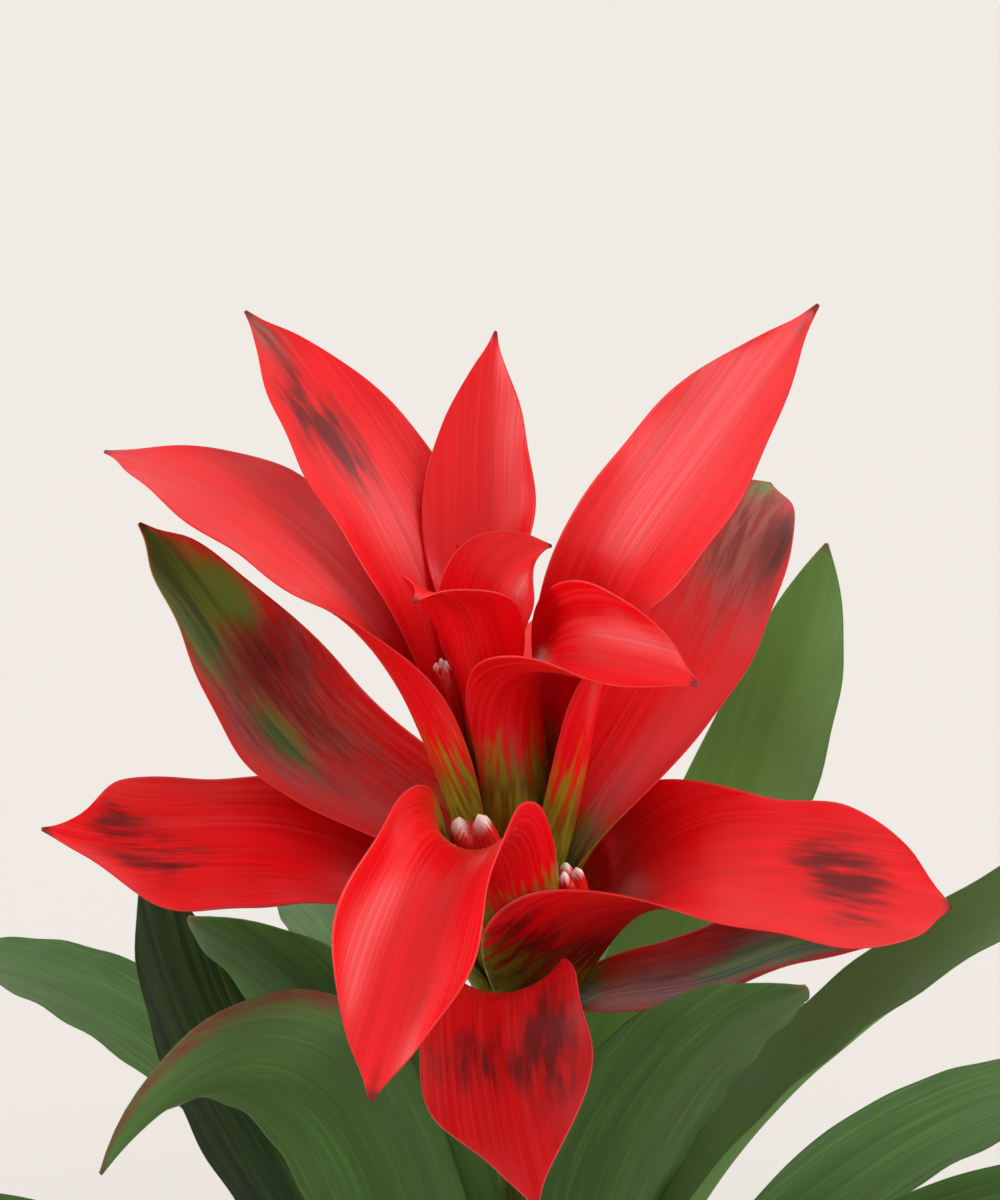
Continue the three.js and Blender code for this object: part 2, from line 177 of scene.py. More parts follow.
def smooth_keys(keys, t):
    """Smooth curve through (place, value) keys."""
    place, value = np.array(keys, float).T
    rise = np.diff(value) / np.diff(place)
    slope = np.concatenate([rise[:1], (rise[:-1] + rise[1:]) / 2, rise[-1:]])
    turns = np.flatnonzero(rise[:-1] * rise[1:] <= 0) + 1
    slope[turns] = 0
    k = np.clip(np.searchsorted(place, t, side="right") - 1, 0, len(rise) - 1)
    step = place[k + 1] - place[k]
    s = (t - place[k]) / step
    return ((1 + 2 * s) * (1 - s) ** 2 * value[k] + s * (1 - s) ** 2 * step * slope[k]
            + s * s * (3 - 2 * s) * value[k + 1] + s * s * (s - 1) * step * slope[k + 1])


def even_keys(values):
    """Keys for values at even distances from 0 to 1."""
    return [(i / (len(values) - 1), value) for i, value in enumerate(values)]


def soft_step(low, high, x):
    """0 below low, 1 above high and smooth in between."""
    u = np.clip((x - low) / (high - low), 0, 1)
    return u * u * (3 - 2 * u)


def stem_centre(z):
    """Middle of the flower stem at a height. It is upright and leans left inside the head."""
    u = np.clip((np.asarray(z, float) - STEM_LEAN_FROM) / STEM_LEAN_OVER, 0, None)
    return np.stack([-STEM_LEAN_REACH * u ** STEM_LEAN_POWER, 0 * u, z + 0 * u], -1)


print("stem centre at 340 mm:", stem_centre(340))

# %% [markdown]
# The middle line is walked from the base in short steps. At each step the lean says
# how far the blade has tipped over from upright and the swing which way it heads.
# A drawn curve would do for one blade, but leaning by angles keeps the length right,
# so a bract can be bent further without being stretched. The roll then turns the
# blade about its own line, mostly in its lower half, as a growing blade turns.

# %% Middle line of a blade
STEPS_ALONG = 72
ROLL_OVER = 0.6
SWING_POWER = 1.5


def normalised(vectors):
    """Vectors of the same directions with a length of 1."""
    return vectors / np.linalg.norm(vectors, axis=-1, keepdims=True)


def middle_line(row):
    """Places, sideways directions and upper-side directions from base to tip."""
    t = np.linspace(0, 1, STEPS_ALONG + 1)
    lean = np.radians(smooth_keys(even_keys(row["lean"]), t))
    azimuth = np.radians(row["azimuth"] + row["swing"] * t ** SWING_POWER)
    flat = np.sin(lean)
    tangent = np.stack([flat * np.cos(azimuth), flat * np.sin(azimuth), np.cos(lean)], -1)
    start = math.radians(row["azimuth"])
    outward = np.array([math.cos(start), math.sin(start), 0])
    across = np.array([-math.sin(start), math.cos(start), 0])
    base = stem_centre(row["height"]) + row["radius"] * outward
    pace = (tangent[1:] + tangent[:-1]) / 2 * row["length"] / STEPS_ALONG
    place = base + np.concatenate([np.zeros((1, 3)), np.cumsum(pace, 0)])
    side = normalised(across - (tangent @ across)[:, None] * tangent)
    upper = np.cross(tangent, side)
    turn = np.radians(row["roll"]) * soft_step(0, ROLL_OVER, t)[:, None]
    rolled_side = side * np.cos(turn) + upper * np.sin(turn)
    rolled_upper = upper * np.cos(turn) - side * np.sin(turn)
    return t, place, rolled_side, rolled_upper


print("steps along a blade:", STEPS_ALONG)

# %% [markdown]
# The sheet is bent round its middle line as an arc. Real blades add small things to
# that: a fold along the middle, and margins that ripple a little where they are
# free. The fold is a tenth of a millimetre here and the ripple less than half of
# one, so that no blade leaves the place its CAD solid has.
#
# The columns of points across the blade are closer near the middle, where the fold
# is, and near the margins, where the light changes fastest.

# %% The sheet of a blade
HALF_ACROSS = np.array([0, 0.06, 0.14, 0.26, 0.4, 0.54, 0.68, 0.81, 0.91, 0.97, 1])
ACROSS = np.concatenate([-HALF_ACROSS[:0:-1], HALF_ACROSS])
FOLD_DEPTH = 0.1
FOLD_WIDTH = 3
FOLD_STARTS = (0.2, 0.5)
RIPPLE = 0.45
RIPPLE_LENGTH = 27
RIPPLE_STARTS = (0.35, 0.6)
RIPPLE_ENDS = (0.9, 1)


def sheet(row, rng):
    """Points of a blade's middle surface, their normals and their places in millimetres."""
    t, place, side, upper = middle_line(row)
    half_arc = np.radians(smooth_keys(even_keys(row["wrap"]), t)) / 2
    base_width = math.radians(row["wrap"][0]) * row["radius"] / row["width"]
    half_width = smooth_keys([(0, base_width)] + row["outline"], t) * row["width"] / 2
    bend = half_width / half_arc
    angle = half_arc[:, None] * ACROSS
    points = (place[:, None] + side[:, None] * (bend[:, None] * np.sin(angle))[..., None]
              + upper[:, None] * (bend[:, None] * (1 - np.cos(angle)))[..., None])
    normal = normalised(np.cross(np.gradient(points, axis=0), np.gradient(points, axis=1)))
    across_mm = half_width[:, None] * ACROSS
    along_mm = np.repeat(t[:, None] * row["length"], len(ACROSS), 1)
    free = soft_step(*RIPPLE_STARTS, t) * (1 - soft_step(*RIPPLE_ENDS, t))
    phase = rng.uniform(0, 2 * math.pi, 2)[(ACROSS > 0).astype(int)]
    wave = np.sin(along_mm * 2 * math.pi / RIPPLE_LENGTH + phase) * np.abs(ACROSS) ** 3
    fold = -FOLD_DEPTH * np.exp(-(across_mm / FOLD_WIDTH) ** 2) * soft_step(*FOLD_STARTS, t)[:, None]
    points += normal * (RIPPLE * free[:, None] * wave + fold)[..., None]
    return points, normal, across_mm, along_mm, t


print("columns across a blade:", len(ACROSS))

# %% [markdown]
# A sheet gets its thickness from two faces, an upper and an under one, joined round
# the margin. Blender's Solidify modifier could do that. Here the points are made
# directly, because the blade has to be thick in the middle and thin at its margins.

# %% Meshes and blades with two faces
MIDDLE_THICKNESS = 0.95
EDGE_THICKNESS = 0.32


def mesh_object(name, points, faces, values, material):
    """Mesh from points in millimetres, with its painted values and its material."""
    mesh = bpy.data.meshes.new(name)
    mesh.from_pydata(np.asarray(points) * MM, [], faces)
    for value_name, value in values.items():
        kind, field = ("FLOAT_VECTOR", "vector") if np.ndim(value) > 1 else ("FLOAT", "value")
        layer = mesh.attributes.new(value_name, kind, "POINT")
        layer.data.foreach_set(field, np.asarray(value, np.float32).ravel())
    mesh.shade_smooth()
    mesh.materials.append(material)
    piece = bpy.data.objects.new(name, mesh)
    bpy.context.scene.collection.objects.link(piece)
    return piece


def finished(piece, slot, *nodes):
    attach(piece, "root")
    if nodes:
        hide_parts(*nodes)
    return piece


def two_faced(points, normal):
    """Points and faces of a closed sheet: upper face, under face and the margin between."""
    rows, columns = points.shape[:2]
    count = rows * columns
    thickness = MIDDLE_THICKNESS - (MIDDLE_THICKNESS - EDGE_THICKNESS) * ACROSS ** 2
    shift = normal * thickness[:, None] / 2
    both = np.concatenate([(points + shift).reshape(-1, 3), (points - shift).reshape(-1, 3)])
    number = np.arange(count).reshape(rows, columns)
    a, b, c, d = number[:-1, :-1], number[1:, :-1], number[1:, 1:], number[:-1, 1:]
    quads = np.stack([a, b, c, d], -1).reshape(-1, 4)
    ring = np.concatenate([number[0, :-1], number[:-1, -1], number[-1, :0:-1], number[:0:-1, 0]])
    after = np.roll(ring, -1)
    rim = np.stack([ring, after, after + count, ring + count], -1)
    return both, np.concatenate([quads, quads[:, ::-1] + count, rim]).tolist()


print("a blade is", MIDDLE_THICKNESS, "mm thick in the middle and", EDGE_THICKNESS, "mm at the margin")

# %% [markdown]
# Each point also carries what the materials need. Its place on the blade is in
# millimetres, so that veins keep their real spacing. The other values say how much
# of a pigment the spot has: burn is dark maroon, green is what never turned red,
# dull is brownish red, and olive is the colour of the clasping base. Burn also
# paints the shade deep in the cup of one bract. A last value paints light and shade
# over the whole blade: it leans a lit leaf towards light green and a bract in shade
# towards deep red. Painting such values on the points is more flexible than one
# material for each blade, and it needs no image.
#
# Painted marks are soft ovals: a kind, the place along the blade from 0 to 1, the
# place across it from -1 to 1, the two sizes in the same shares, and a strength.

# %% Painted values and finished blades
NOISE_SPACING = 7.3
UNDER_FACE_SPACING = 3.1


def painted(marks, kind, t):
    """Sum of the soft oval marks of one kind."""
    total = np.zeros((len(t), len(ACROSS)))
    for mark, along, across, long, wide, strength in marks:
        if mark == kind:
            distance = ((t[:, None] - along) / long) ** 2 + ((ACROSS - across) / wide) ** 2
            total += strength * np.exp(-distance)
    return np.clip(total, 0, 1)


def blade_piece(row, material, slot, seed):
    """Finished leaf or bract. The seed gives it its own ripple and its own veins."""
    points, normal, across_mm, along_mm, t = sheet(row, np.random.default_rng(seed))
    vertices, faces = two_faced(points, normal)
    share = np.repeat(t[:, None], len(ACROSS), 1)
    values = {kind: painted(row["marks"], kind, t) for kind in ("burn_and_shade", "green", "dull")}
    values["margin"] = np.abs(ACROSS) + 0 * share
    values["share"] = share
    values["tone"] = row["tone"] + 0 * share
    values = {name: np.tile(value.ravel(), 2) for name, value in values.items()}
    sides = [1 - soft_step(*row[side], share.ravel()) for side in ("olive", "olive_under")]
    values["olive"] = np.concatenate(sides)
    own_noise = np.full(across_mm.size, seed * NOISE_SPACING)
    grain = np.stack([across_mm.ravel(), along_mm.ravel(), own_noise], -1)
    values["grain"] = np.concatenate([grain, grain + (0, 0, UNDER_FACE_SPACING)])
    values["upper"] = np.repeat([1.0, 0.0], across_mm.size)
    piece = mesh_object(row["name"] + "_blade", vertices, faces, values, material)
    return finished(piece, slot, row["name"])


print("points on a blade:", 2 * (STEPS_ALONG + 1) * len(ACROSS))

# %% [markdown]
# ## Lengthwise grain
#
# Veins run from the base of a blade to its tip, about a millimetre apart, and so do
# the streaks and smudges of its pigment. A wave texture would make them too even.
# A noise that is stretched along the blade gives lines that start, fade and wander
# like real ones. Each pair of sizes is the width and the length of a line.
#
# The veins also stand out a little, and the streaks about half as much, which is the
# relief that both blade materials use. A painted patch is broken up by smudges and
# flecks together, so that its edge is as ragged as on an old bract.

# %% Grain of a blade
VEINS_MM = (0.7, 60)
STREAKS_MM = (3.5, 80)
SMUDGES_MM = (6, 22)
FLECKS_MM = (1.6, 12)
PAINTED = ("olive", "burn_and_shade", "green", "dull", "margin", "share", "upper", "tone")
STREAK_RELIEF = 0.6
FLECK_SHARE = 0.7
PATCHINESS = {**SOFT, "From Min": 0.62, "From Max": 1.08}
PATCH_EDGE = {**SOFT, "From Min": 0.1, "From Max": 0.75}


def lengthwise(tree, place, line_mm, detail):
    """Noise of lines of that width and length in millimetres."""
    scale = (1 / line_mm[0], 1 / line_mm[1], 1)
    stretched = add(tree, "VectorMath", 0, {"operation": "MULTIPLY", 0: place, 1: scale})
    return add(tree, "TexNoise", "Fac", {"Vector": stretched, "Scale": 1, "Detail": detail})


def blade_grain(tree):
    """Painted values of the blade and the noises that both blade materials use."""
    grain = {name: add(tree, "Attribute", "Fac", {"attribute_name": name}) for name in PAINTED}
    place = add(tree, "Attribute", "Vector", {"attribute_name": "grain"})
    grain["veins"] = lengthwise(tree, place, VEINS_MM, 2)
    grain["streaks"] = lengthwise(tree, place, STREAKS_MM, 2)
    grain["smudges"] = lengthwise(tree, place, SMUDGES_MM, 4)
    grain["flecks"] = lengthwise(tree, place, FLECKS_MM, 3)
    relief = {0: grain["streaks"], 1: STREAK_RELIEF, 2: grain["veins"]}
    grain["relief"] = add(tree, "Math", 0, {"operation": "MULTIPLY_ADD", **relief})
    return grain


def mottled(tree, painted_value, grain, whole, most=1):
    """A painted patch broken up by smudges and flecks. Whole is the share that never breaks."""
    both = {0: grain["flecks"], 1: FLECK_SHARE, 2: grain["smudges"]}
    noise = add(tree, "Math", 0, {"operation": "MULTIPLY_ADD", **both})
    patchy = add(tree, "MapRange", "Result", {**PATCHINESS, "Value": noise, "To Min": whole})
    patch = add(tree, "Math", 0, {"operation": "MULTIPLY", 0: painted_value, 1: patchy})
    return add(tree, "MapRange", "Result", {**PATCH_EDGE, "Value": patch, "To Max": most})


print("values painted on a blade:", len(PAINTED))

# %% [markdown]
# ## Bract skin
#
# A bract is a living leaf with red pigment under a waxy cuticle. The pigment fades
# to olive at the clasping base, and old bracts darken to maroon in smudges that
# follow the veins. The wax gives a soft, broad shine. Its strength follows the
# veins, because the cuticle is rougher over some than over others, and that draws
# the fine streaks in the shine. The thin blade lets a little light through, which
# keeps its shaded side warm: that is the subsurface setting, with red going deepest.
# The IOR of 1.4 is typical of plant tissue. The specular level is a little under its
# usual 0.5, to match how weak the shine is in the photograph.

# %% Bract material
bract_skin, tree, shader = new_material("waxy_bract_skin")
grain = blade_grain(tree)
streaky = add(tree, "MapRange", "Result",
              {**SOFT, "Value": grain["streaks"], "From Min": 0.3, "From Max": 0.7})
bright_red = add(tree, "Mix", MIXED, {**COLOURS, AMOUNT: streaky, FIRST: "#E0060E", SECOND: "#F00C16"})
veiny = add(tree, "MapRange", "Result",
            {**SOFT, "Value": grain["veins"], "From Min": 0.5, "From Max": 0.75, "To Max": 0.5})
flecked = add(tree, "MapRange", "Result", {**CONTRAST, "Value": grain["flecks"]})
dull_red = add(tree, "Mix", MIXED, {**COLOURS, AMOUNT: flecked, FIRST: "#80342A", SECOND: "#A4544B"})
banded = add(tree, "MapRange", "Result", {**CONTRAST, "Value": grain["streaks"]})
green = add(tree, "Mix", MIXED, {**COLOURS, AMOUNT: banded, FIRST: "#3A6E2C", SECOND: "#64A040"})
olive = add(tree, "Mix", MIXED, {**COLOURS, AMOUNT: flecked, FIRST: "#6A5214", SECOND: "#8A861E"})
ragged = add(tree, "Math", 0, {"operation": "ADD", 0: grain["olive"], 1: grain["flecks"]})
base = add(tree, "MapRange", "Result", {**SOFT, "Value": ragged, "From Min": 0.75, "From Max": 1.25})
# Painted highlight: a thin pale pink rim along every margin, where the rounded edges catch the light.
edge = add(tree, "MapRange", "Result",
           {**SOFT, "Value": grain["margin"], "From Min": 0.975, "From Max": 1, "To Max": 0.15})
tip = add(tree, "MapRange", "Result",
          {**SOFT, "Value": grain["share"], "From Min": 0.975, "From Max": 0.995, "To Max": 0.8})
colour = layered(tree, bright_red, [
    (veiny, "#F6262E"),
    # Painted shade: a deeper red over a bract that lies in shade.
    (grain["tone"], "#8A0606"),
    (mottled(tree, grain["dull"], grain, 0.6), dull_red),
    (mottled(tree, grain["green"], grain, 0.6), green),
    # Dark maroon of aged bracts. At the base of the low right bract it is painted shade deep in the cup.
    (mottled(tree, grain["burn_and_shade"], grain, 0.25, 0.85), "#4A100E"),
    (base, olive),
    (edge, "#F0706C"),
    (tip, "#5E1C16"),
])
rough = add(tree, "MapRange", "Result",
            {"Value": grain["veins"], "From Min": 0.35, "From Max": 0.65, "To Min": 0.27, "To Max": 0.5})
bump = add(tree, "Bump", "Normal", {"Strength": 0.6, "Distance": 0.12 * MM, "Height": grain["relief"]})
settle(tree, shader, {
    "Base Color": colour, "Roughness": rough, "Normal": bump, "IOR": 1.4, "Specular IOR Level": 0.4,
    "Subsurface Weight": 0.12, "Subsurface Radius": (1, 0.08, 0.06), "Subsurface Scale": 1 * MM,
    "Coat Weight": 0.1, "Coat Roughness": 0.25,
})
print("bract skin has", len(tree.nodes), "nodes")

# %% [markdown]
# ## The bracts
#
# Each row is one bract, from the lowest to the highest. A name, then azimuth,
# height, radius, length and width, the lean at four places, the swing and roll,
# the bend of the cross-section at four places, and three shares of the width.
# Olive says between which places along the blade the olive base gives way to red,
# on the upper and on the under face. The marks say where a bract has darkened,
# stayed green or gone dull, and where shade is painted deep in a cup. A bract in
# shade also gets a deeper red as painted shade. Rows like these could be kept in a
# file of their own, but next to the code they show at a glance what makes one bract
# unlike the next.

# %% Rows for the bracts
def bract(name, azimuth, height, radius, length, width, lean, swing, roll, wrap, form,
          olive=(0.04, 0.34), olive_under=(0.1, 0.44), marks=(), tone=0):
    """Settings of a bract. Form is its share of the width near the base, the shoulder and the tip."""
    low, shoulder, high = form
    outline = [(0.32, low), (0.62, 1), (0.8, shoulder), (0.92, high), (0.97, high * 0.33), (1, 0.02)]
    return dict(name="bract_" + name, azimuth=azimuth, height=height, radius=radius, length=length,
                width=width, lean=lean, swing=swing, roll=roll, wrap=wrap, outline=outline,
                olive=olive, olive_under=olive_under, marks=marks, tone=tone)


BRACTS = [
    bract("low_front_under", 263, 259, 10, 144, 39, [31, 33, 99, 98], 19, 8, [155, 129, 67, 43],
          [0.73, 0.93, 0.33], olive=(0.14, 0.5), olive_under=(0.14, 0.5),
          marks=[("burn_and_shade", 0.68, 0.55, 0.16, 0.45, 0.9), ("burn_and_shade", 0.68, -0.3, 0.08, 0.7, 0.8)],
          # This bract lies in shade under the head, so its whole blade gets a deeper red as painted shade.
          tone=0.55),
    bract("low_right_back", 331, 273, 10, 107, 38, [18, 67, 55, 86], 5, 10, [142, 64, 73, 50],
          [0.87, 0.77, 0.34],
          marks=[("dull", 0.55, 0, 0.45, 1.2, 1), ("green", 0.82, 0, 0.15, 0.6, 1),
                 ("green", 0.6, 0.1, 0.14, 0.35, 1)]),
    bract("low_back_left", 110, 275, 10, 120, 38, [23, 72, 104, 112], 0, 0, [154, 118, 50, 50],
          [0.8, 0.78, 0.34], marks=[("dull", 0.7, 0, 0.3, 1, 0.5), ("burn_and_shade", 0.9, 0, 0.12, 0.8, 0.5)]),
    bract("low_right", 326, 279, 10, 128, 52, [26, 37, 89, 103], 39, 12, [166, 166, 46, 52],
          [1.56, 0.92, 0.56], olive_under=(0.04, 0.4),
          marks=[("burn_and_shade", 0.82, 0, 0.09, 0.7, 0.85), ("burn_and_shade", 0.72, 0.35, 0.07, 0.3, 0.55),
                 # The two marks at its base are dark pigment and painted shade deep in its cup.
                 ("burn_and_shade", 0.26, -0.6, 0.14, 0.8, 0.7), ("burn_and_shade", 0.22, 0, 0.1, 1, 0.45)]),
    bract("low_left", 184, 286, 10, 133, 44, [25, 51, 81, 54], 34, -16, [121, 90, 11, 64],
          [0.99, 0.94, 0.3],
          marks=[("burn_and_shade", 0.78, 0.2, 0.12, 0.4, 0.85), ("burn_and_shade", 0.84, -0.5, 0.08, 0.4, 0.7),
                 ("burn_and_shade", 0.6, 0.4, 0.08, 0.25, 0.5)]),
    bract("low_front", 257, 291, 10, 149, 39, [32, 28, 105, 145], -8, -3, [122, 187, 165, 52],
          [1.13, 0.97, 0.43], olive=(0.34, 0.5), olive_under=(0.16, 0.44),
          marks=[("burn_and_shade", 0.87, 0.25, 0.09, 0.35, 0.35), ("burn_and_shade", 0.98, 0, 0.03, 0.8, 0.4)]),
    bract("low_back_right", 78, 296, 10, 133, 38, [26, 53, 80, 90], 0, -5, [147, 119, 51, 50],
          [0.82, 0.78, 0.34], marks=[("burn_and_shade", 0.85, 0.2, 0.1, 0.5, 0.6)]),
    bract("back_left_low", 164, 303, 10, 137, 43, [14, 58, 31, 39], 9, -21, [132, 83, 58, 52],
          [1.01, 0.64, 0.38],
          marks=[("dull", 0.68, -0.1, 0.42, 1.1, 1), ("green", 0.92, 0.3, 0.13, 1, 1),
                 ("green", 0.8, 0.5, 0.12, 0.45, 1), ("green", 0.8, -0.5, 0.08, 0.4, 0.9),
                 ("green", 0.53, 0.2, 0.1, 0.25, 0.9), ("burn_and_shade", 0.65, -0.35, 0.13, 0.55, 0.6)]),
    bract("back_right", 28, 306, 10, 139, 41, [15, 42, 42, 96], 45, 21, [160, 73, 53, 59],
          [0.89, 0.79, 0.4],
          marks=[("dull", 0.86, 0, 0.26, 1.3, 1), ("green", 0.97, 0.1, 0.08, 1, 0.55),
                 ("burn_and_shade", 0.78, -0.75, 0.12, 0.35, 0.8)]),
    bract("left_high", 166, 314, 10, 158, 53, [10, 24, 55, 87], -7, 0, [145, 162, 20, 20],
          [1.05, 0.92, 0.42], marks=[("burn_and_shade", 0.97, -0.3, 0.04, 0.6, 0.5)]),
    bract("right_high", 355, 314, 10, 169, 44, [15, 6, 33, 33], 2, 35, [156, 171, 41, 42],
          [0.86, 0.82, 0.34], olive=(0.06, 0.38), olive_under=(0.06, 0.38),
          marks=[("burn_and_shade", 0.97, 0, 0.03, 0.8, 0.6)]),
    bract("right_folded", 293, 323, 9.4, 111, 39, [15, -8, 70, 96], 36, 34, [144, 113, 171, 81],
          [0.68, 0.78, 0.36], olive=(0.12, 0.46), olive_under=(0.14, 0.52),
          marks=[("burn_and_shade", 0.34, -0.4, 0.08, 0.3, 0.35)]),
    bract("back_left", 137, 323, 9.5, 157, 38, [13, 19, 46, 56], 1, -7, [154, 117, 43, 62],
          [0.87, 0.78, 0.36],
          marks=[("burn_and_shade", 0.79, 0.25, 0.13, 0.6, 0.85), ("burn_and_shade", 0.66, 0.1, 0.08, 0.3, 0.5),
                 ("dull", 0.98, 0.2, 0.12, 1, 0.9)]),
    bract("top_centre", 106, 332, 9.5, 124, 32, [10, 15, 25, 33], -31, -35, [151, 153, 66, 49],
          [0.68, 0.72, 0.3]),
    bract("inner_left", 119, 335, 7.6, 74, 18, [18, 2, -10, 75], 29, -2, [112, 112, 99, 68],
          [0.69, 0.66, 0.42]),
    bract("inner_front", 240, 342, 7.5, 83, 29, [11, 10, 28, 92], 3, 3, [160, 159, 84, 45],
          [0.62, 0.94, 0.25]),
    bract("inner_right", 34, 347, 6, 72, 25, [9, -23, 7, 98], -14, 35, [160, 149, 95, 81],
          [0.73, 0.96, 0.36]),
]
for seed, row in enumerate(BRACTS, 1):
    blade_piece(row, bract_skin, "red_bract", seed)
print("bracts:", len(BRACTS))

# %% [markdown]
# ## Leaf skin
#
# The strap leaves share the blade's shape and its lengthwise veins. They are green
# with a satin cuticle, a little paler beneath, and their clasping bases are tinged
# with brown. Their shine is weaker and rougher than that of the bracts, as in the
# photograph. Some leaves are dark and some light, which is painted light and shade:
# each leaf's value mixes a shaded dark green with a lit green, so one material serves
# all of them.

# %% Leaf material
leaf_skin, tree, shader = new_material("satin_leaf_skin")
grain = blade_grain(tree)
streaky = add(tree, "MapRange", "Result", {**CONTRAST, "Value": grain["streaks"], "To Max": 0.35})
veiny = add(tree, "MapRange", "Result",
            {**SOFT, "Value": grain["veins"], "From Min": 0.5, "From Max": 0.75, "To Max": 0.3})
under_face = add(tree, "MapRange", "Result", {"Value": grain["upper"], "To Min": 0.25, "To Max": 0})
ragged = add(tree, "Math", 0, {"operation": "MULTIPLY_ADD", 0: grain["smudges"], 1: 0.3, 2: grain["olive"]})
base = add(tree, "MapRange", "Result", {**SOFT, "Value": ragged, "From Min": 0.4, "From Max": 1})
tip = add(tree, "MapRange", "Result",
          {**SOFT, "Value": grain["share"], "From Min": 0.985, "From Max": 0.998})
# Painted light and shade: the ground is the green of a leaf in shade, and each leaf's value brings in the
# green of a lit leaf.
colour = layered(tree, "#1E3316", [
    (grain["tone"], "#648C42"),
    (streaky, "#517A34"),
    (veiny, "#709A4C"),
    (under_face, "#668A48"),
    (base, "#4B3A22"),
    (mottled(tree, grain["burn_and_shade"], grain, 0.4), "#74322A"),
    (tip, "#6A5A36"),
])
rough = add(tree, "MapRange", "Result", {"Value": grain["veins"], "To Min": 0.42, "To Max": 0.55})
bump = add(tree, "Bump", "Normal", {"Strength": 0.3, "Distance": 0.14 * MM, "Height": grain["relief"]})
settle(tree, shader, {
    "Base Color": colour, "Roughness": rough, "Normal": bump, "IOR": 1.38, "Specular IOR Level": 0.35,
    "Subsurface Weight": 0.1, "Subsurface Radius": (0.3, 1, 0.1), "Subsurface Scale": 1 * MM,
})
print("leaf skin has", len(tree.nodes), "nodes")

# %% [markdown]
# ## The leaves
#
# The leaves grow from the stump in a spiral, each a little higher and further in
# than the one before, so the rank of a leaf gives its place, and its name. A rule
# could also set the rest, but the leaves that the photograph shows bend each in
# their own way, so every leaf has its row. The first ones lie low and arch over the
# rim of the pot, and the last ones stand up under the flower head.

# %% Rows for the leaves
LEAF_OUTLINE = [(0.22, 0.7), (0.5, 1), (0.78, 0.88), (0.92, 0.54), (0.975, 0.22), (1, 0.02)]
LEAF_BASE_RADIUS = 25
LEAF_RADIUS_STEP = 1.1
LEAF_BASE_HEIGHT = 101
LEAF_HEIGHT_STEP = 1.6
LEAF_BASE_TINGE = (0, 0.22)
FIRST_LEAF_SEED = 41


def leaf(rank, azimuth, length, width, lean, swing, roll, wrap, tone=0.3, marks=()):
    """Settings of a leaf. Its rank, from the lowest, gives its name and its place on the stump."""
    return dict(name=f"leaf_{rank:02d}", azimuth=azimuth, length=length, width=width, lean=lean,
                swing=swing, roll=roll, wrap=wrap, outline=LEAF_OUTLINE, olive=LEAF_BASE_TINGE,
                olive_under=LEAF_BASE_TINGE, tone=tone, marks=marks,
                radius=LEAF_BASE_RADIUS - LEAF_RADIUS_STEP * (rank - 1),
                height=LEAF_BASE_HEIGHT + LEAF_HEIGHT_STEP * (rank - 1))


# The number after the bend of the cross-section is painted light and shade: near 1 for a lit leaf, near 0
# for one in shade.
LEAVES = [
    leaf(1, 257, 269, 40, [38, 64, 96, 120], 0, 0, [124, 97, 55, 40]),
    leaf(2, 35, 274, 40, [38, 63, 94, 118], 0, 0, [127, 97, 55, 40]),
    leaf(3, 170, 280, 40, [36, 62, 92, 116], 0, 0, [128, 98, 55, 40]),
    leaf(4, 306, 285, 40, [31, 60, 90, 114], 0, 0, [130, 95, 55, 40]),
    leaf(5, 83, 289, 40, [28, 62, 94, 115], 0, 0, [127, 94, 55, 40]),
    leaf(6, 222, 290, 40, [27, 55, 86, 110], 0, 0, [130, 96, 55, 40]),
    leaf(7, 0, 295, 40, [26, 53, 84, 108], 0, 0, [135, 98, 55, 40]),
    leaf(8, 137, 294, 40, [26, 60, 90, 112], 0, 0, [126, 96, 55, 40]),
    leaf(9, 273, 290, 40, [24, 49, 80, 108], 0, 0, [145, 100, 55, 40]),
    leaf(10, 61, 280, 40, [25, 72, 106, 124], 0, 0, [136, 95, 55, 40]),
    leaf(11, 350, 312, 40, [13, 22, 45, 59], 0, 0, [146, 103, 54, 40], 0.8),
    leaf(12, 172, 215, 41, [26, 28, 25, 6], -5, -22, [118, 86, 49, 30], 0.05),
    leaf(13, 110, 270, 40, [8, 58, 92, 112], 0, 0, [136, 100, 55, 40]),
    leaf(14, 228, 268, 40, [22, 14, 35, 116], 10, 69, [112, 79, 58, 74], 0.25,
         marks=[("burn_and_shade", 0.85, 0.9, 0.2, 0.25, 0.8)]),
    leaf(15, 308, 251, 41, [12, 12, 31, 54], -11, -31, [108, 95, 53, 38], 0.15),
    leaf(16, 46, 279, 42, [7, 26, 34, 11], -2, 12, [144, 101, 64, 27], 1.0),
    leaf(17, 213, 243, 43, [10, 13, 27, 50], 17, 41, [145, 100, 57, 38], 0.15),
]
for seed, row in enumerate(LEAVES, FIRST_LEAF_SEED):
    blade_piece(row, leaf_skin, "green_leaf", seed)
print("leaves:", len(LEAVES))

# %% [markdown]
# ## Stem and stump
#
# Both are stacks of rings. The bracts leave low scars round the stem where they
# clasp it, so the finer stem gets a shallow swelling at regular heights. A painted
# ring alone would look flat where the stem is seen from the side.
#
# The skin is green and fibrous: fine ribs run up the stem, about 0.8 mm apart.

# %% Stacks of rings
def stack_faces(rings, segments):
    """Faces of a stack of rings with a point at each end."""
    faces = []
    for k in range(segments):
        n = (k + 1) % segments
        faces.append((0, 1 + n, 1 + k))
        for r in range(rings - 1):
            low = 1 + r * segments
            faces.append((low + k, low + n, low + segments + n, low + segments + k))
        top = 1 + (rings - 1) * segments
        faces.append((top + k, top + n, 1 + rings * segments))
    return faces


